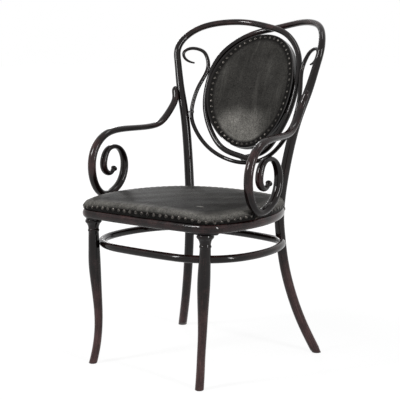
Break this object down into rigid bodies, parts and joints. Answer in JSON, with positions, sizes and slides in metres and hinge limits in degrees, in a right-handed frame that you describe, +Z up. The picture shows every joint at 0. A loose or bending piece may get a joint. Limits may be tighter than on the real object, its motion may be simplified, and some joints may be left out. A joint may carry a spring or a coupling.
{
  "type": "bentwood armchair",
  "caption": "Ebonised bentwood armchair with a padded oval back between looped rods, scrolled arms, a padded leather seat edged with nails and a round stretcher ring.",
  "frame": {"origin": "on the floor, under the middle of the chair's box", "axes": "+Z up, -Y the way the sitter faces, +X to the right of someone who looks at the chair from the front"},
  "size_m": [0.5766, 0.6345, 0.9696],
  "materials": {
    "ebonised_wood": "glossy near-black stain and polish, rubbed to red-brown in places",
    "plywood": "plain moulded ply, hidden but for its edge, which is stained dark",
    "leather": "charcoal leather, satin, worn paler where it is leaned on",
    "stuffing": "matte fibre stuffing",
    "webbing": "matte woven jute",
    "nail_metal": "dark aged metal, polished on the domes",
    "steel": "dark plain steel"
  },
  "bodies": {
    "root": {"right_rear_post": "ebonised_wood", "left_rear_post": "ebonised_wood", "back_scroll": "ebonised_wood", "seat_frame": "ebonised_wood", "right_corner_block": "ebonised_wood", "left_corner_block": "ebonised_wood", "right_front_leg": "ebonised_wood", "left_front_leg": "ebonised_wood", "stretcher_ring": "ebonised_wood", "right_arm": "ebonised_wood", "left_arm": "ebonised_wood", "back_board": "plywood", "back_leather": "leather", "back_rear_cover": "leather", "seat_leather": "leather", "back_padding": "stuffing", "seat_padding": "stuffing", "seat_webbing": "webbing", "back_nails": "nail_metal", "seat_nails": "nail_metal", "crossing_screws": "steel", "scroll_screws": "steel", "board_screws": "steel", "arm_top_screws": "steel", "arm_seat_screws": "steel", "stretcher_screws": "steel", "block_screws": "steel", "seat_bolts": "steel", "seat_bolt_nuts": "steel", "seat_bolt_washers": "steel"}
  },
  "joints": []
}
